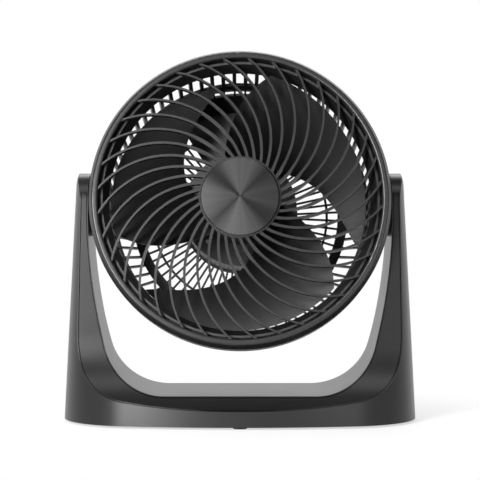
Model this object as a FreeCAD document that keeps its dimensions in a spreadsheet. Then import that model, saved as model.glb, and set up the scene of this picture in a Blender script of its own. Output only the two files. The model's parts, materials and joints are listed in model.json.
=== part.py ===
import FreeCAD, Part
import Sketcher
import math
import os

from FreeCAD import Placement, Rotation, Vector

doc = FreeCAD.newDocument("personal_fan")
sheet = doc.addObject("Spreadsheet::Sheet", "dims")

# Driving sizes: lengths in millimetres, angles in degrees, counts as plain numbers.
# Heights are above the table; head sizes run along the fan axis, forward of the tilt pivot.
DRIVING = {
    # yoke stand
    "base_half_width": 145.5,
    "base_half_depth": 75.0,
    "plan_front_radius": 450.0,
    "arm_top_half_width": 135.8,
    "foot_drop": 1.9,
    "apron_top": 14.0,
    "front_cove_radius": 74.3,
    "front_cove_height": 80.2,
    "rear_cove_radius": 100.0,
    "rear_cove_height": 92.0,
    "arm_end_radius": 27.0,
    "shoulder_drop": 11.0,
    "shoulder_set": 2.6,
    "pivot_height": 177.3,
    "opening_floor": 25.0,
    "opening_half_width": 124.0,
    "opening_corner_radius": 50.0,
    "opening_side_radius": 450.0,
    "yoke_wall": 3.2,
    "cover_thick": 1.6,
    "cover_gap": 0.5,
    "cover_rim": 1.3,
    "cover_top": 188.3,
    "peg_radius": 1.8,
    "peg_length": 9.0,
    "base_peg_offset": 40.0,
    "base_peg_height": 19.5,
    "arm_peg_offset": 125.6,
    "arm_peg_height": 110.0,
    "plate_thick": 2.4,
    "fit_gap": 0.3,
    "pin_gap": 0.08,
    "foot_radius": 5.5,
    "foot_recess": 1.0,
    "front_foot_set": 63.0,
    "side_foot_offset": 112.0,
    "side_foot_set": 36.0,
    "screw_offset": 62.0,
    "screw_set": 36.0,
    "screw_radius": 1.5,
    "screw_head_radius": 2.8,
    "screw_head": 1.5,
    "screw_length": 12.0,
    "screw_boss_radius": 4.0,
    "cross_width": 0.8,
    "cross_depth": 0.8,
    # tilt pivot
    "disc_radius": 25.0,
    "disc_thick": 5.0,
    "disc_gap": 1.2,
    "boss_radius": 18.0,
    "pin_radius": 6.0,
    "pin_seat": 5.0,
    "pin_head_radius": 8.5,
    "pin_head": 1.6,
    "bush_radius": 9.0,
    "bush_flange_radius": 11.0,
    "bush_flange": 1.8,
    # head housing
    "rest_tilt": 8.0,
    "head_wall": 2.3,
    "duct_radius": 106.3,
    "duct_front": 28.0,
    "duct_rear": 18.0,
    "flare_radius": 111.0,
    "flare_front": 39.0,
    "flare_lip": 1.8,
    "band_radius": 122.2,
    "band_front": 33.5,
    "band_back": 20.0,
    "rear_face": 58.5,
    "rear_face_radius": 94.3,
    "cup_radius": 48.0,
    "cup_front": 18.0,
    "cup_hole_radius": 14.0,
    "bar_count": 72,
    "bar_width": 1.7,
    "slot_width": 6.2,
    "slot_front": 26.0,
    "slot_rear": 15.0,
    "bowl_window_outer": 104.6,
    "thick_ring_outer": 93.0,
    "thick_ring_inner": 84.8,
    "thin_ring_outer": 76.4,
    "thin_ring_inner": 74.4,
    "rear_window_inner": 50.0,
    "panel_half_angle": 32.5,
    "panel_bowl_share": 0.35,
    # front grille
    "ring_inner_radius": 114.4,
    "ring_front": 47.0,
    "lip_outer_radius": 119.6,
    "lip_round": 1.8,
    "ring_shoulder": 38.5,
    "rib_count": 36,
    "rib_back": 39.6,
    "rib_front": 45.4,
    "rib_root_width": 2.3,
    "rib_tip_width": 1.5,
    "rib_start_angle": -1.3,
    "rib_sweep": 48.5,
    "hub_radius": 33.0,
    "hub_front": 46.6,
    "hub_wall": 2.4,
    "badge_radius": 31.6,
    "badge_edge": 2.6,
    "badge_rise": 1.8,
    "badge_round": 1.2,
    # impeller
    "impeller_radius": 104.8,
    "impeller_hub_radius": 30.0,
    "impeller_hub_wall": 2.4,
    "impeller_hub_front": 34.0,
    "impeller_hub_back": 13.0,
    "impeller_hub_round": 8.0,
    "impeller_boss_radius": 8.0,
    "impeller_boss_back": 4.0,
    "blade_count": 3,
    "blade_front": 36.6,
    "blade_rear": 12.6,
    "blade_thick": 2.2,
    "blade_camber": 4.0,
    "nut_radius": 11.0,
    "nut_front": 40.6,
    "nut_cap": 2.0,
    "shaft_radius": 4.0,
    "shaft_front": 38.0,
    "shaft_rear": 52.0,
    # motor
    "bracket_radius": 43.0,
    "bracket_thick": 3.0,
    "bracket_hub_radius": 12.0,
    "bracket_hub": 6.0,
    "bearing_radius": 8.0,
    "motor_length": 30.0,
    "stator_radius": 41.5,
    "stator_bore": 24.0,
    "air_gap": 0.5,
    "core_front": 29.0,
    "core_rear": 42.0,
    "coil_outer": 35.0,
    "coil_inner": 26.5,
    "coil_height": 4.0,
    "motor_screw_set": 38.6,
    "motor_screw_count": 4,
    "motor_screw_start": 45.0,
    "motor_screw_radius": 1.6,
    "motor_screw_head_radius": 3.0,
    "motor_screw_head": 2.2,
    # rear cover, switch and knob
    "cover_back": 64.0,
    "cover_wall": 2.2,
    "cover_round": 4.0,
    "cover_screw_set": 39.0,
    "cover_screw_count": 3,
    "cover_screw_start": 30.0,
    "switch_radius": 13.5,
    "switch_front": 55.0,
    "switch_bush_radius": 5.0,
    "switch_bush_back": 69.0,
    "switch_nut_radius": 7.5,
    "switch_nut": 2.4,
    "spindle_radius": 3.0,
    "spindle_front": 57.0,
    "spindle_back": 70.6,
    "knob_radius": 17.0,
    "knob_back": 73.0,
    "knob_gap": 0.6,
    "knob_wall": 2.2,
    "knob_grip_count": 18,
    "knob_grip_radius": 1.2,
    "pointer_width": 1.6,
    "pointer_length": 9.0,
    "pointer_height": 0.7,
    "gland_radius": 5.4,
    "gland_set": 25.0,
    "gland_bore": 3.4,
    "gland_flange_radius": 6.8,
    "gland_flange": 1.6,
    "gland_nose": 4.5,
    "gland_inside": 4.0,
}


class Size:
    """A sheet expression kept beside its present value."""

    def __init__(self, text, value):
        self.text = text
        self.value = value

    def __add__(self, other):
        other = sized(other)
        return Size("(%s + %s)" % (self.text, other.text), self.value + other.value)

    def __sub__(self, other):
        other = sized(other)
        return Size("(%s - %s)" % (self.text, other.text), self.value - other.value)

    def __mul__(self, other):
        other = sized(other)
        return Size("(%s * %s)" % (self.text, other.text), self.value * other.value)

    def __truediv__(self, other):
        other = sized(other)
        return Size("(%s / %s)" % (self.text, other.text), self.value / other.value)

    def __neg__(self):
        return Size("(0 - %s)" % self.text, -self.value)


def sized(number):
    return number if isinstance(number, Size) else Size(repr(number), float(number))


def root(size):
    return Size("sqrt(%s)" % size.text, math.sqrt(size.value))


def sine(angle):
    return Size("sin(%s)" % angle.text, math.sin(math.radians(angle.value)))


def cosine(angle):
    return Size("cos(%s)" % angle.text, math.cos(math.radians(angle.value)))


def tangent(angle):
    return Size("tan(%s)" % angle.text, math.tan(math.radians(angle.value)))


def arcsine(size):
    return Size("(asin(%s) / 1 deg)" % size.text, math.degrees(math.asin(size.value)))


def arctangent(size):
    return Size("(atan(%s) / 1 deg)" % size.text, math.degrees(math.atan(size.value)))


for row, (name, value) in enumerate(DRIVING.items(), start=1):
    sheet.set("A%d" % row, name)
    sheet.set("B%d" % row, str(value))
    sheet.setAlias("B%d" % row, name)
doc.recompute()


class Dims:
    """Every driving size under its own name."""


d = Dims()
for name, value in DRIVING.items():
    setattr(d, name, Size("dims." + name, float(value)))

ZERO = Size("0", 0.0)
HALF = Size("0.5", 0.5)
RIGHT_ANGLE = Size("90", 90.0)
FULL_TURN = Size("360", 360.0)
TWO = Size("2", 2.0)
ONE = Size("1", 1.0)
# shares: how far a rounding's middle stands in from its corner, how far a cutter runs past
# what it cuts, how the grille ribs lean against their sweep, a screw cross's reach to its
# radius, and the steps up the arms' rounded shoulders
ROUND_SHARE = Size("0.3", 0.3)
PAST_SHARE = Size("2.2", 2.2)
RIB_LEAN_SHARE = Size("0.9", 0.9)
CROSS_SHARE = Size("1.2", 1.2)
SHOULDER_SHARES = (ZERO, Size("0.35", 0.35), Size("0.7", 0.7), ONE)
SIDES = ("left", "right")
parts = []


def bind(item, prop, size):
    item.setExpression(prop, size.text)


def plane(body, role):
    return [item for item in body.Origin.OriginFeatures if item.Role == role][0]


def new_body(label):
    body = doc.addObject("PartDesign::Body", label)
    body.Label = label
    return body


def new_sketch(body, role):
    sketch = body.newObject("Sketcher::SketchObject", body.Label + "_sketch")
    sketch.AttachmentSupport = [(plane(body, role), "")]
    sketch.MapMode = "FlatFace"
    return sketch


def fix_point(sketch, item, position, x, y):
    for kind, size in (("DistanceX", x), ("DistanceY", y)):
        rule = Sketcher.Constraint(kind, -1, 1, item, position, size.value)
        number = sketch.addConstraint(rule)
        bind(sketch, "Constraints[%d]" % number, size)


def flat_point(x, y):
    return Vector(x.value, y.value, 0)


def outline(sketch, corners):
    """Close a loop of corners; a corner of four sizes starts an arc through its last two."""
    first = sketch.GeometryCount
    count = len(corners)
    for number, corner in enumerate(corners):
        start = flat_point(corner[0], corner[1])
        nearby = corners[(number + 1) % count]
        end = flat_point(nearby[0], nearby[1])
        if len(corner) == 4:
            sketch.addGeometry(Part.Arc(start, flat_point(corner[2], corner[3]), end), False)
        else:
            sketch.addGeometry(Part.LineSegment(start, end), False)
    order = [ends(sketch, first + number, corner) for number, corner in enumerate(corners)]
    for number, corner in enumerate(corners):
        item = first + number
        after = (number + 1) % count
        rule = Sketcher.Constraint("Coincident", item, order[number][1], first + after, order[after][0])
        sketch.addConstraint(rule)
        fix_point(sketch, item, order[number][0], corner[0], corner[1])
    for number, corner in enumerate(corners):
        if len(corner) == 4:
            middle = sketch.addGeometry(Part.Point(flat_point(corner[2], corner[3])), True)
            fix_point(sketch, middle, 1, corner[2], corner[3])
            sketch.addConstraint(Sketcher.Constraint("PointOnObject", middle, 1, first + number))


def ends(sketch, item, corner):
    """Which end of the drawn item lies on its own corner, then which on the next."""
    start = flat_point(corner[0], corner[1])
    here = sketch.getPoint(item, 1)
    there = sketch.getPoint(item, 2)
    return (1, 2) if here.distanceToPoint(start) <= there.distanceToPoint(start) else (2, 1)


def circle(sketch, x, y, radius):
    item = sketch.addGeometry(Part.Circle(flat_point(x, y), Vector(0, 0, 1), radius.value), False)
    number = sketch.addConstraint(Sketcher.Constraint("Radius", item, radius.value))
    bind(sketch, "Constraints[%d]" % number, radius)
    fix_point(sketch, item, 3, x, y)


def revolve(body, corners, role="XZ_Plane", angle=FULL_TURN):
    """Turn an outline of radius and height, half of the angle to each side of its plane."""
    sketch = new_sketch(body, role)
    outline(sketch, corners)
    turn = body.newObject("PartDesign::Revolution", body.Label + "_turn")
    turn.Profile = sketch
    turn.ReferenceAxis = (sketch, ["V_Axis"])
    turn.Midplane = True
    bind(turn, "Angle", angle)
    return turn


def slab(body, kind, role, draw, start, length, symmetric=False):
    """A pad or pocket between start and start + length along the sketch normal."""
    sketch = new_sketch(body, role)
    draw(sketch)
    bind(sketch, "AttachmentOffset.Base.z", start)
    feature = body.newObject("PartDesign::" + kind, body.Label + "_" + kind.lower())
    feature.Profile = sketch
    feature.SideType = "Symmetric" if symmetric else "One side"
    feature.Reversed = kind == "Pocket"
    bind(feature, "Length", length)
    return feature


def around(body, features, count):
    """Repeat features evenly about the fan axis."""
    ring = body.newObject("PartDesign::PolarPattern", body.Label + "_ring")
    ring.Originals = features
    ring.Axis = (features[0].Profile[0], ["N_Axis"])
    bind(ring, "Angle", FULL_TURN)
    bind(ring, "Occurrences", count)
    body.Tip = ring
    return ring


def on_head(item):
    """Carry an item from the head's own axes, front along Z, to the tilted head."""
    item.Placement = Placement(Vector(0, 0, 0), Rotation(Vector(1, 0, 0), 90))
    bind(item, "Placement.Base.z", d.pivot_height)
    bind(item, "Placement.Rotation.Angle", RIGHT_ANGLE - d.rest_tilt)
    parts.append(item)


def on_stand(item):
    item.Placement = Placement()
    parts.append(item)


def turned(label, corners):
    body = new_body(label)
    revolve(body, corners)
    on_head(body)
    return body


def cut(label, base, tools):
    joined = base
    for number, tool in enumerate(tools):
        step = doc.addObject("Part::Cut", "%s_cut%d" % (label, number))
        step.Base = joined
        step.Tool = tool
        joined = step
    joined.Label = label
    return joined


def common(label, shapes):
    item = doc.addObject("Part::MultiCommon", label)
    item.Shapes = shapes
    return item


def fuse(label, shapes):
    item = doc.addObject("Part::MultiFuse", label)
    item.Shapes = shapes
    item.Label = label
    return item


def rod(label, radius, length, base, axis):
    """A round bar starting at base, a triple of sizes, along X, Y or Z."""
    item = doc.addObject("Part::Cylinder", label)
    turns = {"X": Rotation(Vector(0, 1, 0), 90), "Y": Rotation(Vector(1, 0, 0), -90), "Z": Rotation()}
    item.Placement = Placement(Vector(0, 0, 0), turns[axis])
    bind(item, "Radius", radius)
    bind(item, "Height", length)
    for letter, size in zip("xyz", base):
        bind(item, "Placement.Base." + letter, size)
    return item


def group(label, items):
    item = doc.addObject("Part::Compound", label)
    item.Links = items
    item.Label = label
    return item


def rods(label, spots, radius, low, length):
    """One upright round bar at each spot."""
    return [rod("%s%d" % (label, number), radius, length, (x, y, low), "Z")
            for number, (x, y) in enumerate(spots)]


def side_bar(label, side, radius, start, length, height):
    """A round bar along X, start to start + length out from the middle on one side."""
    near = start if side == "right" else -start - length
    return rod(label + "_" + side, radius, length, (near, ZERO, height), "X")


def slot_box(label, spot, low, wide, deep):
    """One slot of a screw's cross, open at the low end of the head."""
    item = doc.addObject("Part::Box", label)
    for prop, size in (("Length", wide), ("Width", deep), ("Height", d.cross_depth)):
        bind(item, prop, size)
    for letter, size in zip("xyz", (spot[0] - wide * HALF, spot[1] - deep * HALF, low)):
        bind(item, "Placement.Base." + letter, size)
    return item


def screws(label, spots, low, length, radius=d.screw_radius, head_radius=d.screw_head_radius,
           head=d.screw_head):
    """Pan-head screws with a cross recess, heads at the low end."""
    made = []
    heads = rods(label + "_head", spots, head_radius, low, head)
    shanks = rods(label + "_shank", spots, radius, low, length)
    for number, spot in enumerate(spots):
        name = "%s_%d" % (label, number)
        arm = head_radius * CROSS_SHARE
        cross = [slot_box(name + "_slot", spot, low, arm, d.cross_width),
                 slot_box(name + "_cross", spot, low, d.cross_width, arm)]
        made.append(cut(name, fuse(name + "_whole", [heads[number], shanks[number]]), cross))
    return group(label, made)


# Yoke stand


def plan_corners(scale, inset):
    """The stand's oval from above: long arcs front and rear, tangent to the round ends."""
    half = d.base_half_width * scale
    depth = d.base_half_depth * scale
    long_radius = d.plan_front_radius * scale
    end_radius = (TWO * depth * long_radius - half * half - depth * depth) / (TWO * (long_radius - half))
    span = long_radius - end_radius
    x = (half - end_radius) * (long_radius - inset) / span
    y = (long_radius - depth) * (end_radius - inset) / span
    return [
        (-x, -y, ZERO, inset - depth),
        (x, -y, half - inset, ZERO),
        (x, y, ZERO, depth - inset),
        (-x, y, inset - half, ZERO),
    ]


def plan_rims(low):
    """Shares of the base oval and their heights: an even taper, then a rounded shoulder."""
    top = d.pivot_height + d.arm_end_radius
    rims = [(ONE, low)]
    for rise in SHOULDER_SHARES:
        reach = d.arm_top_half_width - d.shoulder_set * rise * rise
        rims.append((reach / d.base_half_width, top - d.shoulder_drop * (ONE - rise)))
    return rims


def plan_solid(label, inset, low):
    """The stand's upright oval, narrower towards the top."""
    body = new_body(label)
    rims = []
    for scale, height in plan_rims(low):
        rim = new_sketch(body, "XY_Plane")
        outline(rim, plan_corners(scale, inset))
        bind(rim, "AttachmentOffset.Base.z", height)
        rims.append(rim)
    solid = body.newObject("PartDesign::AdditiveLoft", label + "_loft")
    solid.Profile = rims[0]
    solid.Sections = rims[1:]
    solid.Ruled = True
    return body


def cove_set():
    """How far in front of the arms the middle of the front cove lies."""
    drop = d.front_cove_height - d.apron_top
    return d.base_half_depth + root(d.front_cove_radius * d.front_cove_radius - drop * drop)


def arm_lean():
    """The lean of the arm's front edge, tangent to the cove and to the arm's round end."""
    rise = d.pivot_height - d.front_cove_height
    span = root(cove_set() * cove_set() + rise * rise)
    return arctangent(cove_set() / rise) - arcsine((d.front_cove_radius + d.arm_end_radius) / span)


def profile_corners(inset, low):
    """The stand seen from the side, front to the left."""
    lean = arm_lean()
    front = d.base_half_depth - inset
    reach = d.front_cove_radius + inset
    end = d.arm_end_radius - inset
    cove_top = d.front_cove_height
    cove_span = cove_set() - front
    cove_low = cove_top - root(reach * reach - cove_span * cove_span)
    middle = (arcsine((cove_top - cove_low) / reach) + lean) * HALF
    rear_reach = d.rear_cove_radius + inset
    rear_center = d.arm_end_radius + d.rear_cove_radius
    rear_span = rear_center - front
    rear_low = d.rear_cove_height - root(rear_reach * rear_reach - rear_span * rear_span)
    rear_middle = arcsine((d.rear_cove_height - rear_low) / rear_reach) * HALF
    return [
        (-front, low),
        (-front, cove_low, reach * cosine(middle) - cove_set(), cove_top - reach * sine(middle)),
        (reach * cosine(lean) - cove_set(), cove_top - reach * sine(lean)),
        (-end * cosine(lean), d.pivot_height + end * sine(lean), ZERO, d.pivot_height + end),
        (end, d.pivot_height),
        (end, d.rear_cove_height, rear_center - rear_reach * cosine(rear_middle),
         d.rear_cove_height - rear_reach * sine(rear_middle)),
        (front, rear_low),
        (front, low),
    ]


def profile_solid(label, inset, low):
    body = new_body(label)
    slab(body, "Pad", "YZ_Plane", lambda sketch: outline(sketch, profile_corners(inset, low)),
         ZERO, d.base_half_width * PAST_SHARE, symmetric=True)
    return body


def opening_corners(outset):
    """The U between the arms, seen from the front."""
    center = d.opening_half_width - d.opening_side_radius
    corner_top = d.opening_floor + d.opening_corner_radius
    gap = d.opening_side_radius - d.opening_corner_radius
    drop = d.pivot_height - corner_top
    corner = center + root(gap * gap - drop * drop)
    lean = arcsine(drop / gap)
    side = d.opening_side_radius + outset
    small = d.opening_corner_radius + outset
    wide = d.opening_half_width + outset
    top = d.pivot_height + d.arm_end_radius * TWO
    half_lean = lean * HALF
    bend = (lean + RIGHT_ANGLE) * HALF
    join = (center + side * cosine(lean), d.pivot_height - side * sine(lean))
    upper = (center + side * cosine(half_lean), d.pivot_height - side * sine(half_lean))
    lower = (corner + small * cosine(bend), corner_top - small * sine(bend))
    floor = d.opening_floor - outset
    return [
        (wide, top),
        (wide, d.pivot_height) + upper,
        join + lower,
        (corner, floor),
        (-corner, floor, -lower[0], lower[1]),
        (-join[0], join[1], -upper[0], upper[1]),
        (-wide, d.pivot_height),
        (-wide, top),
    ]


def opening_solid(label, outset):
    body = new_body(label)
    slab(body, "Pad", "XZ_Plane", lambda sketch: outline(sketch, opening_corners(outset)),
         ZERO, d.base_half_depth * PAST_SHARE, symmetric=True)
    return body


def front_half(label, low, high):
    """All the room in front of the arms' middle between two heights."""
    item = doc.addObject("Part::Box", label)
    wide = d.base_half_width + d.yoke_wall
    bind(item, "Length", wide * TWO)
    bind(item, "Width", d.base_half_depth)
    bind(item, "Height", high - low)
    bind(item, "Placement.Base.x", -wide)
    bind(item, "Placement.Base.y", -d.base_half_depth)
    bind(item, "Placement.Base.z", low)
    return item


def cover_blank(label, thick, rim):
    """The thin skin on the stand's coved front, set in from both rims."""
    return cut(label, common(label + "_face", [
        profile_solid(label + "_side", ZERO, d.foot_drop),
        plan_solid(label + "_oval", rim, d.foot_drop),
        front_half(label + "_half", d.apron_top + rim, d.cover_top - rim),
    ]), [
        profile_solid(label + "_under", thick, d.foot_drop),
        opening_solid(label + "_gap", rim),
    ])


def cover_pegs(label, extra):
    pegs = []
    lean = arm_lean()
    arm_face = (d.pivot_height - d.arm_peg_height) * tangent(lean) + d.arm_end_radius / cosine(lean)
    drop = d.front_cove_height - d.base_peg_height
    base_face = cove_set() - root(d.front_cove_radius * d.front_cove_radius - drop * drop)
    for place, offset, height, face in (("base", d.base_peg_offset, d.base_peg_height, base_face),
                                        ("arm", d.arm_peg_offset, d.arm_peg_height, arm_face)):
        for side, reach in (("left", -offset), ("right", offset)):
            name = "%s_%s_%s" % (label, place, side)
            start = (reach, -face, height)
            pegs.append(rod(name, d.peg_radius + extra, d.peg_length + extra, start, "Y"))
    return pegs


def make_yoke():
    shell = cut("yoke_solid", common("yoke_face", [
        profile_solid("yoke_side", ZERO, d.foot_drop),
        plan_solid("yoke_oval", ZERO, d.foot_drop),
    ]), [opening_solid("yoke_gap", ZERO)])
    hollow = cut("yoke_room", common("yoke_room_face", [
        profile_solid("yoke_room_side", d.yoke_wall, ZERO),
        plan_solid("yoke_room_oval", d.yoke_wall, ZERO),
    ]), [opening_solid("yoke_room_gap", d.yoke_wall)])
    boss_height = d.opening_floor - d.yoke_wall * HALF - plate_top()
    bosses = rods("yoke_boss", screw_places(), d.screw_boss_radius, plate_top(), boss_height)
    pilots = rods("yoke_pilot", screw_places(), d.screw_radius + d.pin_gap, d.foot_drop, d.screw_length)
    recess = cover_blank("cover_recess", d.cover_thick + d.cover_gap, d.cover_rim - d.cover_gap)
    bush_start = d.opening_half_width - d.yoke_wall * HALF
    bush_holes = [side_bar("bush_hole", side, d.bush_radius + d.pin_gap, bush_start, d.yoke_wall * TWO,
                           d.pivot_height) for side in SIDES]
    body = fuse("yoke_with_bosses", [cut("yoke_hollow", shell, [hollow])] + bosses)
    on_stand(cut("yoke_shell", body, [recess] + pilots + bush_holes + cover_pegs("peg_hole", d.fit_gap)))
    blank = cover_blank("cover_skin", d.cover_thick, d.cover_rim)
    pegs = common("cover_pegs", [
        group("cover_peg_rods", cover_pegs("peg", ZERO)),
        profile_solid("peg_side", d.cover_thick * HALF, d.foot_drop),
        plan_solid("peg_oval", d.cover_thick * HALF, d.foot_drop),
    ])
    on_stand(fuse("yoke_front_cover", [blank, pegs]))


def plate_top():
    return d.foot_drop + d.plate_thick


def screw_places():
    return [(x, y) for x in (-d.screw_offset, d.screw_offset) for y in (-d.screw_set, d.screw_set)]


def foot_places():
    reach = d.side_foot_offset
    sides = [(x, y) for x in (-reach, reach) for y in (-d.side_foot_set, d.side_foot_set)]
    return [(ZERO, -d.front_foot_set)] + sides


def make_base():
    plate = new_body("plate_blank")
    inset = d.yoke_wall + d.fit_gap + d.fit_gap
    slab(plate, "Pad", "XY_Plane", lambda sketch: outline(sketch, plan_corners(ONE, inset)),
         d.foot_drop, d.plate_thick)
    recesses = rods("foot_recess", foot_places(), d.foot_radius + d.pin_gap, d.foot_drop, d.foot_recess)
    holes = rods("plate_hole", screw_places(), d.screw_radius + d.pin_gap, d.foot_drop, d.plate_thick)
    sinks = rods("plate_sink", screw_places(), d.screw_head_radius + d.pin_gap, d.foot_drop, d.screw_head)
    room = profile_solid("plate_side", d.yoke_wall + d.fit_gap, ZERO)
    on_stand(cut("base_plate", common("plate_trim", [plate, room]), recesses + holes + sinks))
    feet = rods("foot", foot_places(), d.foot_radius, ZERO, d.foot_drop + d.foot_recess)
    on_stand(group("rubber_feet", feet))
    on_stand(screws("base_screws", screw_places(), d.foot_drop, d.screw_length))


# Tilt pivot


def make_bush(side):
    """The plain bearing pressed into the arm's inner wall."""
    start = d.opening_half_width
    height = d.pivot_height
    body = side_bar("bush_body", side, d.bush_radius, start, d.yoke_wall, height)
    rim = side_bar("bush_rim", side, d.bush_flange_radius, start + d.yoke_wall, d.bush_flange, height)
    bore = side_bar("bush_bore", side, d.pin_radius + d.pin_gap, start, d.yoke_wall + d.bush_flange, height)
    on_stand(cut("pivot_bush_" + side, fuse("bush_" + side, [body, rim]), [bore]))


def disc_room(side):
    """The drum's edge cuts a flat on the front of the disc."""
    item = doc.addObject("Part::Box", "disc_room_" + side)
    reach = d.opening_half_width
    bind(item, "Length", reach)
    bind(item, "Width", d.disc_radius * TWO)
    bind(item, "Height", d.disc_radius)
    bind(item, "Placement.Base.x", ZERO if side == "right" else -reach)
    bind(item, "Placement.Base.y", -d.disc_radius)
    bind(item, "Placement.Base.z", d.band_back - d.fit_gap)
    return item


def make_pivot(side):
    inner = d.opening_half_width - d.disc_gap - d.disc_thick
    body = side_bar("disc_body", side, d.disc_radius, inner, d.disc_thick, ZERO)
    hole = side_bar("disc_bore", side, d.pin_radius + d.pin_gap, inner, d.disc_thick, ZERO)
    on_head(cut("pivot_disc_" + side, body, [hole, disc_room(side)]))
    seat = inner - d.pin_seat
    shank = d.pin_seat + d.disc_thick + d.disc_gap + d.yoke_wall + d.bush_flange + d.fit_gap
    pin = side_bar("pin_body", side, d.pin_radius, seat, shank, ZERO)
    head = side_bar("pin_top", side, d.pin_head_radius, seat + shank, d.pin_head, ZERO)
    on_head(fuse("pivot_pin_" + side, [pin, head]))


# Head housing


def wedge(inner, outer):
    """One window between two neighbouring bars of the rear grille."""
    half = FULL_TURN / d.bar_count * HALF
    low = inner * tangent(half) - d.bar_width * HALF
    high = outer * tangent(half) - d.bar_width * HALF
    return [(inner, -low), (outer, -high), (outer, high), (inner, low)]


def housing_corners():
    wall = d.head_wall
    outer = d.duct_radius + wall
    return [
        (d.duct_radius, -d.duct_rear),
        (d.duct_radius, d.duct_front),
        (d.flare_radius, d.flare_front),
        (d.flare_radius + d.flare_lip, d.flare_front),
        (d.flare_radius + d.flare_lip, d.band_front),
        (d.band_radius, d.band_front),
        (d.band_radius, d.band_back),
        (d.band_radius - wall, d.band_back),
        (d.band_radius - wall, d.band_front - wall),
        (outer + wall, d.band_front - wall),
        (outer, d.duct_front),
        (outer, -d.duct_rear),
        (d.rear_face_radius, -d.rear_face),
        (d.cup_radius - wall, -d.rear_face),
        (d.cup_radius - wall, -d.cup_front - wall),
        (d.cup_hole_radius, -d.cup_front - wall),
        (d.cup_hole_radius, -d.cup_front),
        (d.cup_radius, -d.cup_front),
        (d.cup_radius, wall - d.rear_face),
        (d.rear_face_radius - wall, wall - d.rear_face),
    ]


def panel_corners():
    low = RIGHT_ANGLE - d.panel_half_angle
    high = RIGHT_ANGLE + d.panel_half_angle
    inner = d.cup_radius - d.head_wall * HALF
    outer = d.thick_ring_outer - d.head_wall

    def at(radius, angle):
        return (radius * cosine(angle), radius * sine(angle))

    return [
        at(inner, low),
        at(outer, low) + (ZERO, outer),
        at(outer, high),
        at(inner, high) + (ZERO, inner),
    ]


def bowl_panel_corners():
    """The closed top of the rear bowl, below its uppermost windows."""
    wall = d.head_wall
    outer = (d.rear_face_radius, -d.rear_face)
    inner = (d.rear_face_radius - wall, wall - d.rear_face)
    foot = d.thick_ring_outer - wall

    def up(corner, radius):
        share = d.panel_bowl_share
        return (radius + (corner[0] - radius) * share, (corner[1] + d.duct_rear) * share - d.duct_rear)

    return [
        (foot, -d.rear_face),
        outer,
        up(outer, d.duct_radius + wall),
        up(inner, d.duct_radius),
        inner,
        (foot, wall - d.rear_face),
    ]


def polar_places(count, radius, start):
    number = int(count.value)
    spots = []
    for step in range(number):
        angle = start + FULL_TURN / count * step
        spots.append((radius * cosine(angle), radius * sine(angle)))
    return spots


def holes(body, role, spots, radius, start, length):
    def draw(sketch):
        for x, y in spots:
            circle(sketch, x, y, radius)

    return slab(body, "Pocket", role, draw, start, length)


def motor_screw_places():
    return polar_places(d.motor_screw_count, d.motor_screw_set, d.motor_screw_start)


def make_housing():
    body = new_body("rear_housing_body")
    revolve(body, housing_corners())

    def slot(sketch):
        inner = d.duct_radius - d.head_wall
        outer = d.duct_radius + d.head_wall + d.head_wall
        low = -d.slot_rear
        high = d.slot_front
        outline(sketch, [(inner, low), (outer, low), (outer, high), (inner, high)])

    opening = slab(body, "Pocket", "XZ_Plane", slot, ZERO, d.slot_width, symmetric=True)
    ring_side = body.newObject("PartDesign::PolarPattern", "slot_ring")
    ring_side.Originals = [opening]
    ring_side.Axis = (opening.Profile[0], ["V_Axis"])
    bind(ring_side, "Angle", FULL_TURN)
    bind(ring_side, "Occurrences", d.bar_count)
    body.Tip = ring_side

    def windows(sketch):
        outline(sketch, wedge(d.thick_ring_outer, d.bowl_window_outer))
        outline(sketch, wedge(d.thin_ring_outer, d.thick_ring_inner))
        outline(sketch, wedge(d.rear_window_inner, d.thin_ring_inner))

    behind = d.rear_face + d.head_wall
    rear = slab(body, "Pocket", "XY_Plane", windows, -behind, behind - d.duct_rear + d.head_wall)
    around(body, [rear], d.bar_count)
    slab(body, "Pad", "XY_Plane", lambda sketch: outline(sketch, panel_corners()), -d.rear_face, d.head_wall)
    revolve(body, bowl_panel_corners(), "YZ_Plane", d.panel_half_angle + d.panel_half_angle)
    holes(body, "XY_Plane", motor_screw_places(), d.motor_screw_radius + d.pin_gap,
          -d.cup_front - d.head_wall, d.head_wall)
    bosses = []
    pins = []
    start = d.duct_radius + d.head_wall * HALF
    end = d.opening_half_width - d.disc_gap - d.disc_thick
    seat_radius = d.pin_radius + d.pin_gap
    for side in SIDES:
        bosses.append(side_bar("pivot_boss", side, d.boss_radius, start, end - start, ZERO))
        pins.append(side_bar("pivot_seat", side, seat_radius, end - d.pin_seat, d.pin_seat, ZERO))
    on_head(cut("rear_housing", fuse("rear_housing_whole", [body] + bosses), pins))


# Front grille


def rib_corners():
    inner = d.hub_radius - d.hub_wall * HALF
    outer = d.ring_inner_radius + d.head_wall * HALF
    middle = (inner + outer) * HALF
    mean = (d.rib_root_width + d.rib_tip_width) * HALF
    sides = []
    for sign in (HALF, -HALF):
        spots = []
        for radius, width, share in ((inner, d.rib_root_width, ZERO), (middle, mean, HALF),
                                     (outer, d.rib_tip_width, ONE)):
            angle = d.rib_start_angle + d.rib_sweep * share
            # the rib leans from the radius, so its width is laid off square to its run
            lean = angle + d.rib_sweep * RIB_LEAN_SHARE * (HALF + share * HALF)
            spots.append((radius * cosine(angle) - sign * width * sine(lean),
                          radius * sine(angle) + sign * width * cosine(lean)))
        sides.append(spots)
    one, two = sides
    return [one[0] + one[1], one[2], two[2] + two[1], two[0]]


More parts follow.
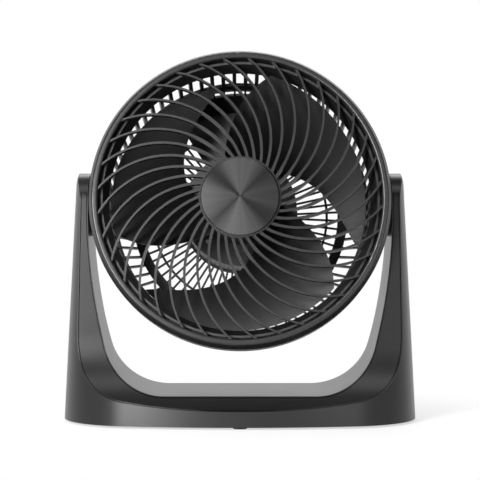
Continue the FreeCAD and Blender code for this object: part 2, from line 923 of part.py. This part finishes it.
def make_grille():
    body = new_body("front_grille")
    revolve(body, [
        (d.ring_inner_radius, d.band_front),
        (d.ring_inner_radius, d.ring_front - d.lip_round,
         d.ring_inner_radius + d.lip_round * ROUND_SHARE, d.ring_front - d.lip_round * ROUND_SHARE),
        (d.ring_inner_radius + d.lip_round, d.ring_front),
        (d.lip_outer_radius - d.lip_round, d.ring_front,
         d.lip_outer_radius - d.lip_round * ROUND_SHARE, d.ring_front - d.lip_round * ROUND_SHARE),
        (d.lip_outer_radius, d.ring_front - d.lip_round),
        (d.band_radius, d.ring_shoulder),
        (d.band_radius, d.band_front),
    ])
    rib = slab(body, "Pad", "XY_Plane", lambda sketch: outline(sketch, rib_corners()), d.rib_back,
               d.rib_front - d.rib_back)
    around(body, [rib], d.rib_count)
    revolve(body, [
        (ZERO, d.hub_front - d.hub_wall),
        (ZERO, d.hub_front),
        (d.hub_radius, d.hub_front),
        (d.hub_radius, d.rib_back),
        (d.hub_radius - d.hub_wall, d.rib_back),
        (d.hub_radius - d.hub_wall, d.hub_front - d.hub_wall),
    ])
    on_head(body)
    edge = d.hub_front + d.badge_edge
    side = d.badge_radius - d.badge_round
    dome = (side * side + d.badge_rise * d.badge_rise) / (d.badge_rise + d.badge_rise)
    crown = edge + d.badge_rise
    middle = crown - dome + root(dome * dome - side * side * HALF * HALF)
    turned("hub_badge", [
        (ZERO, d.hub_front),
        (d.badge_radius, d.hub_front),
        (d.badge_radius, edge - d.badge_round,
         d.badge_radius - d.badge_round * ROUND_SHARE, edge - d.badge_round * ROUND_SHARE),
        (side, edge, side * HALF, middle),
        (ZERO, crown),
    ])


# Impeller and shaft

# Shares of the impeller radius, with the clockwise angles of both blade edges there,
# and shares of the blade's front and rear reach.
BLADE_RADIUS_SHARES = (0.2685, 0.4266, 0.6205, 0.8144, 1.0)
BLADE_FRONT_ANGLES = (4.0, 15.0, 25.0, 34.0, 44.0)
BLADE_REAR_ANGLES = (62.0, 80.0, 104.0, 126.0, 139.0)
BLADE_FRONT_SHARES = (0.76, 0.90, 0.96, 0.99, 1.0)
BLADE_REAR_SHARES = (0.60, 0.75, 0.90, 1.0, 1.0)
BLADE_STEPS = 8


def blade_curve(number, lift, turn):
    """Points across the blade at one radius, front edge first."""
    radius = d.impeller_radius.value * BLADE_RADIUS_SHARES[number]
    front = d.blade_front.value * BLADE_FRONT_SHARES[number]
    rear = -d.blade_rear.value * BLADE_REAR_SHARES[number]
    first = BLADE_FRONT_ANGLES[number]
    sweep = BLADE_REAR_ANGLES[number] - first
    spots = []
    for step in range(BLADE_STEPS + 1):
        share = step / BLADE_STEPS
        angle = -math.radians(first + sweep * share + turn)
        bow = d.blade_camber.value * math.sin(math.pi * share)
        height = front + (rear - front) * share - bow + lift
        spots.append(Vector(radius * math.cos(angle), radius * math.sin(angle), height))
    return spots


def blade_face(lift, turn):
    surface = Part.BSplineSurface()
    surface.interpolate([blade_curve(number, lift, turn) for number in range(len(BLADE_RADIUS_SHARES))])
    return surface.toShape()


def blade_solid(turn):
    half = d.blade_thick.value / 2
    upper = blade_face(half, turn)
    lower = blade_face(-half, turn)
    faces = [upper, lower]
    for above, below in zip(upper.Edges, lower.Edges):
        faces.append(Part.makeRuledSurface(above, below))
    shell = Part.makeShell(faces)
    shell.sewShape()
    return Part.makeSolid(shell)


def make_impeller():
    hub = new_body("impeller_hub")
    front = d.impeller_hub_front
    radius = d.impeller_hub_radius
    inner = radius - d.impeller_hub_wall
    rounding = d.impeller_hub_round
    small = ROUND_SHARE
    revolve(hub, [
        (d.shaft_radius + d.pin_gap, -d.impeller_boss_back),
        (d.shaft_radius + d.pin_gap, front),
        (radius - rounding, front, radius - rounding * small, front - rounding * small),
        (radius, front - rounding),
        (radius, -d.impeller_hub_back),
        (inner, -d.impeller_hub_back),
        (inner, front - rounding),
        (d.impeller_boss_radius, front - rounding),
        (d.impeller_boss_radius, -d.impeller_boss_back),
    ])
    doc.recompute()
    shape = hub.Shape
    for blade in range(int(d.blade_count.value)):
        turn = blade * 360 / d.blade_count.value
        shape = shape.fuse(blade_solid(turn))
    impeller = doc.addObject("Part::Feature", "impeller")
    impeller.Shape = shape
    on_head(impeller)
    turned("impeller_nut", [
        (ZERO, d.nut_front - d.nut_cap),
        (ZERO, d.nut_front),
        (d.nut_radius - d.nut_cap, d.nut_front),
        (d.nut_radius, d.nut_front - d.nut_cap),
        (d.nut_radius, front),
        (d.shaft_radius + d.pin_gap, front),
        (d.shaft_radius + d.pin_gap, d.nut_front - d.nut_cap),
    ])
    ring("motor_shaft", ZERO, d.shaft_radius, -d.shaft_rear, d.shaft_front)
    ring("rotor_core", d.shaft_radius, d.stator_bore - d.air_gap, -d.core_rear, -d.core_front)


def ring(label, inner, outer, low, high):
    return turned(label, [(inner, low), (outer, low), (outer, high), (inner, high)])


# Motor


def make_motor():
    top = -d.cup_front - d.head_wall
    low = top - d.motor_length
    thick = d.bracket_thick
    hub = d.bracket_hub
    for name, face, toward in (("motor_front_bracket", top, ONE),
                               ("motor_rear_bracket", low, -ONE)):
        body = turned(name, [
            (d.bearing_radius, face),
            (d.bracket_radius, face),
            (d.bracket_radius, face - toward * thick),
            (d.bracket_hub_radius, face - toward * thick),
            (d.bracket_hub_radius, face - toward * hub),
            (d.bearing_radius, face - toward * hub),
        ])
        start = face - thick if name == "motor_front_bracket" else face
        holes(body, "XY_Plane", motor_screw_places(), d.motor_screw_radius + d.pin_gap, start, thick)
        if name == "motor_rear_bracket":
            holes(body, "XY_Plane", cover_screw_places(), d.screw_radius + d.pin_gap, start, thick)
    ring("front_bearing", d.shaft_radius + d.pin_gap, d.bearing_radius, top - hub, top)
    ring("rear_bearing", d.shaft_radius + d.pin_gap, d.bearing_radius, low, low + hub)
    core = ring("stator_core", d.stator_bore, d.stator_radius, -d.core_rear, -d.core_front)
    holes(core, "XY_Plane", motor_screw_places(), d.motor_screw_radius + d.pin_gap,
          -d.core_rear, d.core_rear - d.core_front)
    coils = [ring_tool(name, d.coil_inner, d.coil_outer, base, base + d.coil_height)
             for name, base in (("coil_front", -d.core_front), ("coil_rear", -d.core_rear - d.coil_height))]
    on_head(group("stator_coils", coils))
    on_head(screws("motor_screws", motor_screw_places(), low - d.motor_screw_head,
                   d.motor_length + d.head_wall + d.motor_screw_head, d.motor_screw_radius,
                   d.motor_screw_head_radius, d.motor_screw_head))


def ring_tool(label, inner, outer, low, high):
    body = new_body(label)
    revolve(body, [(inner, low), (outer, low), (outer, high), (inner, high)])
    return body


def cover_screw_places():
    return polar_places(d.cover_screw_count, d.cover_screw_set, d.cover_screw_start)


# Rear cover, speed switch and knob


def pointer_corners():
    """The raised bar on the knob's face that shows its setting."""
    half = d.pointer_width * HALF
    outer = d.knob_radius - d.knob_wall - half
    inner = outer - d.pointer_length
    return [(-half, inner), (half, inner), (half, outer), (-half, outer)]


def make_rear():
    back = -d.cover_back
    inner = back + d.cover_wall
    rounding = d.cover_round
    small = ROUND_SHARE
    lid = turned("motor_cover", [
        (d.switch_bush_radius + d.pin_gap, inner),
        (d.switch_bush_radius + d.pin_gap, back),
        (d.cup_radius - rounding, back, d.cup_radius - rounding * small, back + rounding * small),
        (d.cup_radius, back + rounding),
        (d.cup_radius, -d.rear_face),
        (d.cup_radius - d.head_wall, -d.rear_face),
        (d.cup_radius - d.head_wall, inner),
    ])
    holes(lid, "XY_Plane", cover_screw_places(), d.screw_radius + d.pin_gap, back, d.cover_wall)
    holes(lid, "XY_Plane", [(ZERO, -d.gland_set)], d.gland_radius + d.pin_gap, back, d.cover_wall)
    low = -d.cup_front - d.head_wall - d.motor_length
    on_head(screws("motor_cover_screws", cover_screw_places(), back - d.screw_head,
                   low - back + d.screw_head + d.bracket_thick))
    turned("speed_switch", [
        (d.spindle_radius + d.pin_gap, -d.spindle_front),
        (ZERO, -d.spindle_front),
        (ZERO, -d.switch_front),
        (d.switch_radius, -d.switch_front),
        (d.switch_radius, inner),
        (d.switch_bush_radius, inner),
        (d.switch_bush_radius, -d.switch_bush_back),
        (d.spindle_radius + d.pin_gap, -d.switch_bush_back),
    ])
    ring("switch_nut", d.switch_bush_radius + d.pin_gap, d.switch_nut_radius, back - d.switch_nut, back)
    ring("switch_spindle", ZERO, d.spindle_radius, -d.spindle_back, -d.spindle_front)
    knob = turned("speed_knob", [
        (ZERO, -d.spindle_back),
        (ZERO, -d.knob_back),
        (d.knob_radius - d.knob_wall, -d.knob_back),
        (d.knob_radius, d.knob_wall - d.knob_back),
        (d.knob_radius, back - d.knob_gap),
        (d.knob_radius - d.knob_wall, back - d.knob_gap),
        (d.knob_radius - d.knob_wall, -d.spindle_back),
    ])
    grip = holes(knob, "XY_Plane", [(d.knob_radius, ZERO)], d.knob_grip_radius, -d.knob_back,
                 d.knob_back - d.cover_back)
    around(knob, [grip], d.knob_grip_count)
    slab(knob, "Pad", "XY_Plane", lambda sketch: outline(sketch, pointer_corners()),
         -d.knob_back - d.pointer_height, d.pointer_height)
    gland = new_body("cord_gland")

    def tube(outer, low_end, length):
        def draw(sketch):
            circle(sketch, ZERO, -d.gland_set, outer)
            circle(sketch, ZERO, -d.gland_set, d.gland_bore)

        slab(gland, "Pad", "XY_Plane", draw, low_end, length)

    tube(d.gland_radius, back - d.gland_nose, d.gland_nose + d.cover_wall + d.gland_inside)
    tube(d.gland_flange_radius, back - d.gland_flange, d.gland_flange)
    on_head(gland)


make_yoke()
make_base()
for side in SIDES:
    make_bush(side)
    make_pivot(side)
make_housing()
make_grille()
make_impeller()
make_motor()
make_rear()
doc.recompute()

for item in doc.Objects:
    if "Invalid" in item.State or "Error" in item.State:
        raise RuntimeError("%s is %s" % (item.Label, item.State))
for item in parts:
    if item.Shape.isNull() or not item.Shape.isValid():
        raise RuntimeError(item.Label + " has no sound shape")

os.makedirs("parts", exist_ok=True)
for item in parts:
    item.Shape.exportStep("parts/%s.step" % item.Label)
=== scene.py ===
import json
import math

import bpy
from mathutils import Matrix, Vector

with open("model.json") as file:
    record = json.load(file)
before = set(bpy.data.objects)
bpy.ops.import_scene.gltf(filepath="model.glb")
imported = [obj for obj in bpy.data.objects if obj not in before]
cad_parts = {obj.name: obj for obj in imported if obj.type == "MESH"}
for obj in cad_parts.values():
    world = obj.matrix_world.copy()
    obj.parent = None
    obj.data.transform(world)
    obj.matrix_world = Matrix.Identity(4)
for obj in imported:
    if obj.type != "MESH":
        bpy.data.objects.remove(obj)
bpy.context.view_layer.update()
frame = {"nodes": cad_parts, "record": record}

nodes = frame["nodes"]

# The tilt pivot and the fan axis, from the shared frame.
joints = {joint["name"]: joint for joint in frame["record"]["behaviour"]["joints"]}
PIVOT = Vector(joints["head_tilt"]["pos_m"])
REARWARD = Vector(joints["impeller_spin"]["axis"]).normalized()

# Looks. Colours are linear, noise scales are per metre, and shares are of a colour or a roughness.
PLASTICS = {
    "stand_plastic": {"colour": (0.008, 0.008, 0.0084), "roughness": 0.31, "depth": 0.03, "specular": 0.36},
    "cover_plastic": {"colour": (0.007, 0.007, 0.0074), "roughness": 0.31, "depth": 0.03, "specular": 0.36},
    "head_plastic": {"colour": (0.005, 0.005, 0.0055), "roughness": 0.42},
    "grille_plastic": {"colour": (0.009, 0.009, 0.0094), "roughness": 0.35, "specular": 0.4},
    "knob_plastic": {"colour": (0.035, 0.035, 0.037), "roughness": 0.40},
    "bush_plastic": {"colour": (0.55, 0.55, 0.53), "roughness": 0.45},
    "foot_rubber": {"colour": (0.020, 0.020, 0.020), "roughness": 0.75, "depth": 0.2, "grain": 800.0},
}
METALS = {
    "steel": {"colour": (0.55, 0.55, 0.56), "roughness": 0.36},
    "bracket_aluminium": {"colour": (0.62, 0.62, 0.63), "roughness": 0.45},
    "lamination_steel": {"colour": (0.22, 0.22, 0.23), "roughness": 0.5},
    "copper": {"colour": (0.55, 0.25, 0.12), "roughness": 0.35},
}

PLAIN_SPECULAR = 0.5
DRIFT_SCALE, DRIFT_DETAIL, DRIFT_SHARES = 9.0, 3.0, (0.9, 1.1)
GLOSS_SCALE, GLOSS_DETAIL, GLOSS_SHARES = 45.0, 3.0, (0.92, 1.08)
GRAIN_SCALE, GRAIN_DETAIL, GRAIN_DEPTH = 1400.0, 1.0, 0.06
RELIEF = 0.0002

# The blades' crossed hatch. A wave texture of scale 1 repeats after WAVE_PERIOD.
BLADE_COLOUR = (0.005, 0.005, 0.0054)
BLADE_ROUGHNESS = 0.45
BLADE_SPECULAR = 0.25
HATCH_PITCH = 0.0011
HATCH_DEPTH = 0.25
WAVE_PERIOD = 0.314

METAL_SCALE, METAL_DETAIL, METAL_SHARES = 60.0, 4.0, (0.85, 1.12)
POLISH_SCALE, POLISH_DETAIL, POLISH_SHARES = 900.0, 2.0, (0.8, 1.2)

# The badge: fine circles, uneven streaks out from the middle, and four painted highlight rays, strong at
# top and bottom and weak at the sides.
# Streaks go by direction alone. The painted highlight's stops go from the sides of the badge to its top and
# bottom, and the badge colour is the tone at the painted highlight's peak.
BADGE_HIGHLIGHT_PEAK_COLOUR = (0.085, 0.085, 0.085)
BADGE_ROUGHNESS = 0.40
BADGE_METALLIC = 0.85
BADGE_SPREAD = 0.6
CIRCLE_SCALE, CIRCLE_DETAIL, CIRCLE_SHARES = 5000.0, 3.0, (0.8, 1.2)
STREAK_SCALE, STREAK_DETAIL, STREAK_ROUGHNESS = 2.6, 5.0, 0.55
STREAK_RANGE, STREAK_SHARES = (0.3, 0.7), (0.75, 1.25)
PAINTED_HIGHLIGHT_STOPS = ((0.0, 0.2), (0.45, 0.153), (1.0, 1.0))

# Broken edges of the moulded pieces
SOFTENED = ("yoke_shell", "yoke_front_cover", "rear_housing", "speed_knob", "motor_cover")
EDGE_WIDTH = 0.0006
EDGE_SEGMENTS = 3
EDGE_ANGLE = math.radians(40)

# Studio: lengths in metres, but the lens and sensor in millimetres. BACKDROP_RANGE is how far a direction
# points rearward where the dim room turns into the white backdrop.
FLOOR_TONE = (0.92, 0.92, 0.92)
FLOOR_ROUGHNESS = 0.9
FLOOR_SPECULAR = 0.2
FLOOR_REACH = 12.0
FLOOR_CORNERS = ((-1, -1), (1, -1), (1, 1), (-1, 1))
FIBRE_SCALE, FIBRE_DETAIL, FIBRE_SHARES = 300.0, 2.0, (0.995, 1.005)
SHADOW_RANGE = (0.12, 0.30)
SHADOW_FADE = 0.6
BACKDROP_RANGE = (0.3, 0.9)
ROOM_DIM = 0.12
LAMPS = {
    "key": {"place": (-0.72, -1.30, 0.46), "target": (0, 0, 0.10), "size": (0.40, 0.85), "watts": 52.0},
    "side": {"place": (0.72, -1.30, 0.46), "target": (0, 0, 0.10), "size": (0.40, 0.85), "watts": 7.0},
    "top": {"place": (0.0, -0.60, 1.45), "target": (0, 0, 0.10), "size": (1.0, 0.5), "watts": 4.0},
    "rim": {"place": (0.0, 1.00, 1.25), "target": (0, 0, 0.15), "size": (1.5, 0.7), "watts": 10.0},
}
CAMERA_PLACE = (0.0, -1.25, 0.149)
CAMERA_TURN = (math.radians(90), 0, 0)
CAMERA_LENS = 112.65
CAMERA_SENSOR = 36.0
CAMERA_REACH = 50.0


def feed(tree, value, socket):
    """Link an output to a socket, or give the socket a fixed value."""
    if isinstance(value, bpy.types.NodeSocket):
        tree.links.new(value, socket)
    else:
        socket.default_value = value


def add(tree, kind, inputs=None, **settings):
    """A node with its settings, and its inputs fed by name or number."""
    node = tree.nodes.new(kind)
    for name, value in settings.items():
        setattr(node, name, value)
    for name, value in (inputs or {}).items():
        feed(tree, value, node.inputs[name])
    return node


def calculate(tree, operation, first, second):
    return add(tree, "ShaderNodeMath", {0: first, 1: second}, operation=operation).outputs["Value"]


def combine(tree, operation, first, second):
    """One vector out of two."""
    return add(tree, "ShaderNodeVectorMath", {0: first, 1: second}, operation=operation).outputs["Vector"]


def length(tree, vector):
    return add(tree, "ShaderNodeVectorMath", {0: vector}, operation="LENGTH").outputs["Value"]


def object_place(tree):
    return add(tree, "ShaderNodeTexCoord").outputs["Object"]


def noise(tree, scale, detail):
    inputs = {"Vector": object_place(tree), "Scale": scale, "Detail": detail}
    return add(tree, "ShaderNodeTexNoise", inputs).outputs["Fac"]


def spread(tree, value, found, wanted, ease="LINEAR"):
    """A value found in one range, moved to the same share of the wanted range."""
    inputs = {"Value": value, "From Min": found[0], "From Max": found[1],
              "To Min": wanted[0], "To Max": wanted[1]}
    return add(tree, "ShaderNodeMapRange", inputs, interpolation_type=ease).outputs["Result"]


def tint(tree, value, colour, shares):
    """The colour, from its lower to its higher share as value goes from 0 to 1."""
    low, high = [(*[part * share for part in colour], 1) for share in shares]
    inputs = {"Factor": value, "A": low, "B": high}
    return add(tree, "ShaderNodeMix", inputs, data_type="RGBA").outputs["Result"]


def multiply(tree, first, second):
    inputs = {"Factor": 1.0, "A": first, "B": second}
    return add(tree, "ShaderNodeMix", inputs, data_type="RGBA", blend_type="MULTIPLY").outputs["Result"]


def new_material(name, colour, roughness, specular):
    material = bpy.data.materials.new(name)
    material.use_nodes = True
    tree = material.node_tree
    shader = tree.nodes["Principled BSDF"]
    shader.inputs["Base Color"].default_value = (*colour, 1)
    shader.inputs["Roughness"].default_value = roughness
    shader.inputs["Specular IOR Level"].default_value = specular
    return material, tree, shader


def vary_roughness(tree, shader, value, roughness, shares):
    low, high = [roughness * share for share in shares]
    feed(tree, spread(tree, value, (0, 1), (low, high)), shader.inputs["Roughness"])


def plastic(name, colour, roughness, specular):
    """Plastic with a slight drift of tone and an uneven gloss."""
    material, tree, shader = new_material(name, colour, roughness, specular)
    drift = noise(tree, DRIFT_SCALE, DRIFT_DETAIL)
    feed(tree, tint(tree, drift, colour, DRIFT_SHARES), shader.inputs["Base Color"])
    vary_roughness(tree, shader, noise(tree, GLOSS_SCALE, GLOSS_DETAIL), roughness, GLOSS_SHARES)
    return material, tree, shader


def emboss(tree, shader, height, depth):
    """Raise the skin where height nears 1."""
    bump = add(tree, "ShaderNodeBump", {"Height": height, "Strength": depth, "Distance": RELIEF})
    feed(tree, bump.outputs["Normal"], shader.inputs["Normal"])


def moulded(name, colour, roughness, depth=GRAIN_DEPTH, grain=GRAIN_SCALE, specular=PLAIN_SPECULAR):
    """Moulded plastic or rubber with a fine spark-eroded grain."""
    material, tree, shader = plastic(name, colour, roughness, specular)
    emboss(tree, shader, noise(tree, grain, GRAIN_DETAIL), depth)
    return material


def hatched(name):
    """The blades' plastic, with a fine crossed hatch in its skin."""
    material, tree, shader = plastic(name, BLADE_COLOUR, BLADE_ROUGHNESS, BLADE_SPECULAR)
    inputs = {"Vector": object_place(tree), "Scale": WAVE_PERIOD / HATCH_PITCH}
    waves = [add(tree, "ShaderNodeTexWave", inputs, bands_direction=way, wave_profile="SIN").outputs["Fac"]
             for way in ("X", "Z")]
    emboss(tree, shader, calculate(tree, "MULTIPLY", *waves), HATCH_DEPTH)
    return material


def metal(name, colour, roughness):
    material, tree, shader = new_material(name, colour, roughness, PLAIN_SPECULAR)
    shader.inputs["Metallic"].default_value = 1.0
    drift = noise(tree, METAL_SCALE, METAL_DETAIL)
    feed(tree, tint(tree, drift, colour, METAL_SHARES), shader.inputs["Base Color"])
    vary_roughness(tree, shader, noise(tree, POLISH_SCALE, POLISH_DETAIL), roughness, POLISH_SHARES)
    return material


def spun(name):
    """The badge's dark metal, brushed in circles about the fan axis, with a painted highlight brightest at
    top and bottom.
    """
    material, tree, shader = new_material(name, BADGE_HIGHLIGHT_PEAK_COLOUR, BADGE_ROUGHNESS, PLAIN_SPECULAR)
    shader.inputs["Metallic"].default_value = BADGE_METALLIC
    shader.inputs["Anisotropic"].default_value = BADGE_SPREAD
    offset = combine(tree, "SUBTRACT", object_place(tree), PIVOT)
    circle = combine(tree, "CROSS_PRODUCT", REARWARD, offset)
    run = add(tree, "ShaderNodeVectorMath", {0: circle}, operation="NORMALIZE").outputs["Vector"]
    outward = combine(tree, "CROSS_PRODUCT", run, REARWARD)
    turned = add(tree, "ShaderNodeVectorTransform", {"Vector": outward}, vector_type="VECTOR",
                 convert_from="OBJECT", convert_to="WORLD")
    feed(tree, turned.outputs["Vector"], shader.inputs["Tangent"])

    inputs = {"W": length(tree, circle), "Scale": CIRCLE_SCALE, "Detail": CIRCLE_DETAIL}
    lines = add(tree, "ShaderNodeTexNoise", inputs, noise_dimensions="1D").outputs["Fac"]
    inputs = {"Vector": run, "Scale": STREAK_SCALE, "Detail": STREAK_DETAIL, "Roughness": STREAK_ROUGHNESS}
    streaks = add(tree, "ShaderNodeTexNoise", inputs).outputs["Fac"]
    # Painted highlight: a tone ramp on the brushing direction lights the badge strongly at top and bottom
    # and weakly at its sides.
    across = add(tree, "ShaderNodeSeparateXYZ", {"Vector": run}).outputs["X"]
    painted_highlight = add(tree, "ShaderNodeValToRGB", {"Fac": calculate(tree, "MULTIPLY", across, across)})
    painted_highlight.color_ramp.interpolation = "EASE"
    painted_highlight.color_ramp.elements.new(PAINTED_HIGHLIGHT_STOPS[1][0])
    for stop, (position, share) in zip(painted_highlight.color_ramp.elements, PAINTED_HIGHLIGHT_STOPS):
        stop.position = position
        stop.color = (share, share, share, 1)

    streaks_and_painted_highlight = multiply(tree, painted_highlight.outputs["Color"], spread(tree, streaks, STREAK_RANGE, STREAK_SHARES))
    tone = multiply(tree, tint(tree, lines, BADGE_HIGHLIGHT_PEAK_COLOUR, CIRCLE_SHARES), streaks_and_painted_highlight)
    feed(tree, tone, shader.inputs["Base Color"])
    vary_roughness(tree, shader, lines, BADGE_ROUGHNESS, CIRCLE_SHARES)
    return material


def dress():
    """Give each CAD node the material of its slot, and break the moulded edges."""
    materials = {name: moulded(name, **look) for name, look in PLASTICS.items()}
    materials.update({name: metal(name, **look) for name, look in METALS.items()})
    materials["blade_plastic"] = hatched("blade_plastic")
    materials["badge_metal"] = spun("badge_metal")
    slots = {part["node"]: part["material_slot"] for part in frame["record"]["subparts"]}
    for name, piece in nodes.items():
        piece.data.materials.clear()
        piece.data.materials.append(materials[slots[name]])
    for name in SOFTENED:
        bevel = nodes[name].modifiers.new("edge", "BEVEL")
        bevel.width = EDGE_WIDTH
        bevel.segments = EDGE_SEGMENTS
        bevel.limit_method = "ANGLE"
        bevel.angle_limit = EDGE_ANGLE
        bevel.harden_normals = True


def any_ray(tree, *kinds):
    """One for rays of the named kinds, and zero for the others."""
    path = add(tree, "ShaderNodeLightPath")
    found = path.outputs[kinds[0]]
    for kind in kinds[1:]:
        found = calculate(tree, "MAXIMUM", found, path.outputs[kind])
    return found


def put(name, data):
    """A new object in the scene."""
    item = bpy.data.objects.new(name, data)
    bpy.context.scene.collection.objects.link(item)
    return item


def make_floor():
    """Pale paper that is shown white further out, and keeps the shadow near the fan."""
    mesh = bpy.data.meshes.new("floor")
    mesh.from_pydata([(x * FLOOR_REACH, y * FLOOR_REACH, 0) for x, y in FLOOR_CORNERS], [], [(0, 1, 2, 3)])
    floor = put("floor", mesh)
    material, tree, shader = new_material("floor_paper", FLOOR_TONE, FLOOR_ROUGHNESS, FLOOR_SPECULAR)
    fibre = noise(tree, FIBRE_SCALE, FIBRE_DETAIL)
    feed(tree, tint(tree, fibre, FLOOR_TONE, FIBRE_SHARES), shader.inputs["Base Color"])
    away = length(tree, add(tree, "ShaderNodeNewGeometry").outputs["Position"])
    far = spread(tree, away, SHADOW_RANGE, (SHADOW_FADE, 1), "SMOOTHSTEP")
    shown = any_ray(tree, "Is Camera Ray", "Is Transmission Ray", "Is Glossy Ray")
    white = add(tree, "ShaderNodeEmission").outputs["Emission"]
    share = calculate(tree, "MULTIPLY", shown, far)
    mix = add(tree, "ShaderNodeMixShader", {"Fac": share, 1: shader.outputs["BSDF"], 2: white})
    feed(tree, mix.outputs["Shader"], tree.nodes["Material Output"].inputs["Surface"])
    mesh.materials.append(material)


def make_world():
    """A white backdrop behind the fan and a dim room on the camera's side."""
    world = bpy.data.worlds.new("studio")
    bpy.context.scene.world = world
    world.use_nodes = True
    tree = world.node_tree
    tree.nodes.clear()
    seen = add(tree, "ShaderNodeBackground", {"Color": (1, 1, 1, 1), "Strength": 1.0})
    place = add(tree, "ShaderNodeTexCoord").outputs["Generated"]
    rearward = add(tree, "ShaderNodeSeparateXYZ", {"Vector": place}).outputs["Y"]
    tone = spread(tree, rearward, BACKDROP_RANGE, (ROOM_DIM, 1), "SMOOTHSTEP")
    lit = add(tree, "ShaderNodeBackground", {"Color": tone, "Strength": 1.0})
    shown = any_ray(tree, "Is Camera Ray", "Is Transmission Ray")
    inputs = {"Fac": shown, 1: lit.outputs["Background"], 2: seen.outputs["Background"]}
    mix = add(tree, "ShaderNodeMixShader", inputs)
    add(tree, "ShaderNodeOutputWorld", {"Surface": mix.outputs["Shader"]})


def make_lamp(name, place, target, size, watts):
    lamp = bpy.data.lights.new(name, "AREA")
    lamp.shape = "RECTANGLE"
    lamp.size, lamp.size_y = size
    lamp.energy = watts
    item = put(name, lamp)
    item.location = place
    item.rotation_euler = (Vector(target) - Vector(place)).to_track_quat("-Z", "Y").to_euler()


def make_camera():
    camera = bpy.data.cameras.new("photo_camera")
    camera.sensor_width = CAMERA_SENSOR
    camera.lens = CAMERA_LENS
    camera.clip_end = CAMERA_REACH
    item = put("photo_camera", camera)
    item.location = CAMERA_PLACE
    item.rotation_euler = CAMERA_TURN
    bpy.context.scene.camera = item


dress()
make_floor()
make_world()
for lamp_name, lamp_values in LAMPS.items():
    make_lamp(lamp_name, **lamp_values)
make_camera()
bpy.context.scene.view_settings.view_transform = "Standard"
